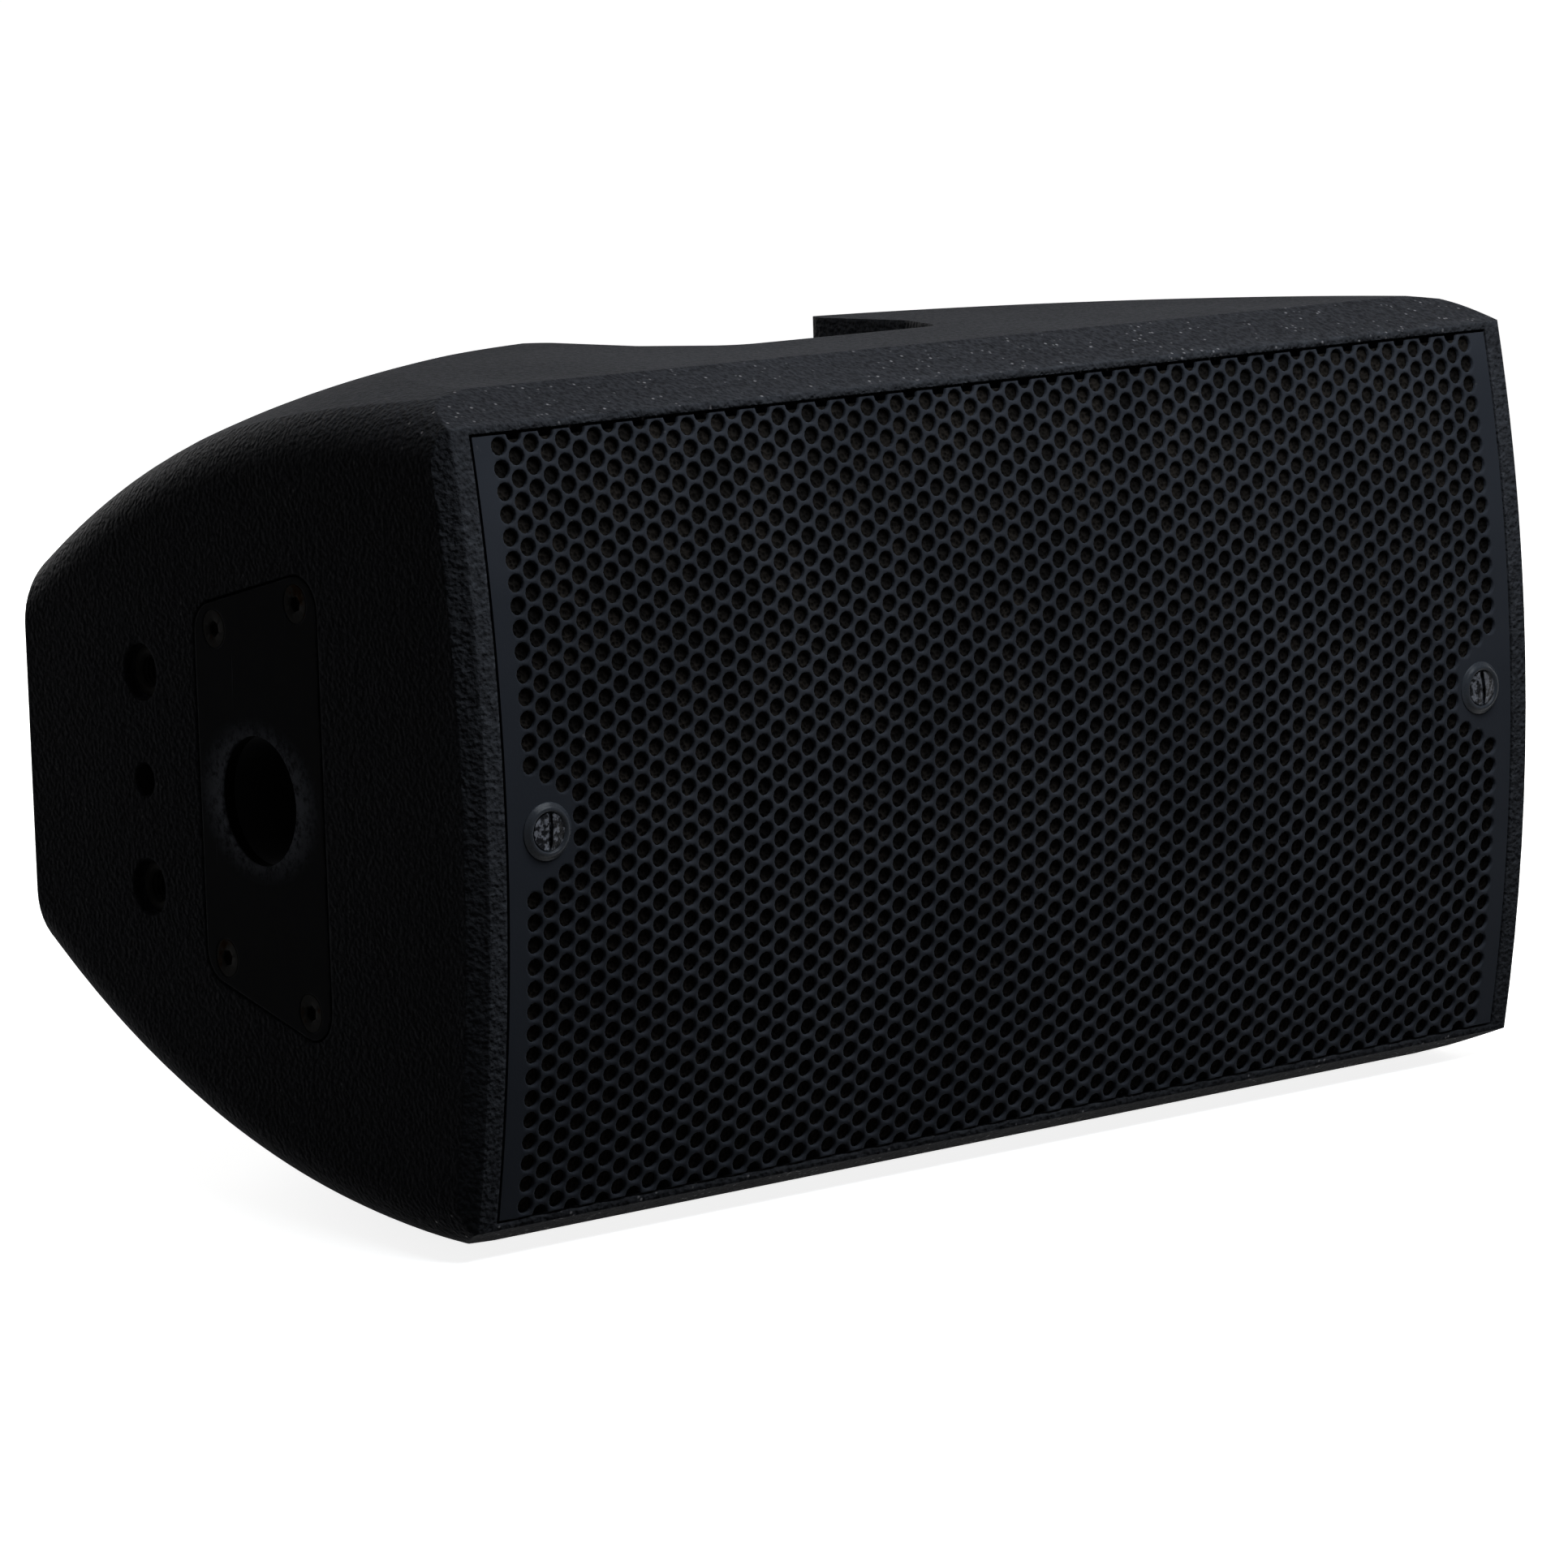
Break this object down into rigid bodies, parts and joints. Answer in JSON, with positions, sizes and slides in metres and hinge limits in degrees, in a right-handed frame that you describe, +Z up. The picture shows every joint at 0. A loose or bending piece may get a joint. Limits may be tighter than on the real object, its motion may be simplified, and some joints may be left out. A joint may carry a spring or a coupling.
{
  "type": "pa speaker cabinet",
  "caption": "Compact two-way loudspeaker cabinet with a bowed perforated grille, domed rear, hand scoops, pole socket, threaded rigging inserts and a coaxial driver inside.",
  "frame": {"origin": "on the floor, under the middle of the cabinet as it lies on one flat side", "axes": "+X along the cabinet away from the pole end, -Y out of the grille, +Z up"},
  "size_m": [0.392, 0.2216, 0.2299],
  "materials": {
    "shell_paint": "textured paint",
    "baffle_board": "painted",
    "port_plastic": "moulded",
    "grille_steel": "powder coat",
    "grille_foam": "open cell foam",
    "zinc_steel": "zinc plated",
    "cup_steel": "worn nickel",
    "screw_steel": "bright",
    "plate_paint": "satin paint",
    "worn_screw": "black oxide, partly rusted",
    "tube_plastic": "moulded",
    "insert_steel": "plated",
    "basket_alloy": "black coated casting",
    "gasket_rubber": "foam rubber",
    "surround_cloth": "doped cloth",
    "cone_paper": "coated paper",
    "coil_copper": "enamelled wire",
    "spider_cloth": "impregnated cloth",
    "gap_steel": "zinc plated",
    "ferrite": "sintered",
    "black_screw": "black oxide",
    "horn_plastic": "moulded",
    "hf_alloy": "black coated casting",
    "hf_foil": "foil",
    "board_laminate": "solder mask",
    "capacitor_film": "wrapped film",
    "resistor_cement": "cement",
    "socket_plastic": "moulded",
    "wadding": "felt"
  },
  "bodies": {
    "cabinet": {"cabinet_shell": "shell_paint", "front_baffle": "baffle_board", "reflex_ports": "port_plastic", "grille": "grille_steel", "grille_foam": "grille_foam", "grille_posts": "zinc_steel", "cup_washers": "cup_steel", "grille_screws": "screw_steel", "pole_plate": "plate_paint", "pole_plate_screws": "worn_screw", "pole_tube": "tube_plastic", "rigging_inserts": "insert_steel", "driver_basket": "basket_alloy", "driver_gasket": "gasket_rubber", "cone_surround": "surround_cloth", "spider": "spider_cloth", "top_plate": "gap_steel", "magnet": "ferrite", "pole_piece": "gap_steel", "driver_screws": "black_screw", "tee_nuts": "zinc_steel", "horn": "horn_plastic", "hf_housing": "hf_alloy", "hf_diaphragm": "hf_foil", "hf_cover": "hf_alloy", "crossover_board": "board_laminate", "crossover_coils": "coil_copper", "crossover_capacitors": "capacitor_film", "crossover_resistors": "resistor_cement", "board_posts": "zinc_steel", "socket_in": "socket_plastic", "socket_link": "socket_plastic", "socket_screws": "zinc_steel", "damping_mat": "wadding"},
    "moving_cone": {"cone": "cone_paper", "voice_coil": "coil_copper"}
  },
  "joints": [
    {"name": "cone_travel", "type": "slide", "parent": "cabinet", "child": "moving_cone", "axis": [0, -0.9996, 0.0279], "range_m": [-0.005, 0.005], "stiffness_N_per_m": 2500, "deforming": ["cone_surround", "spider"]}
  ]
}
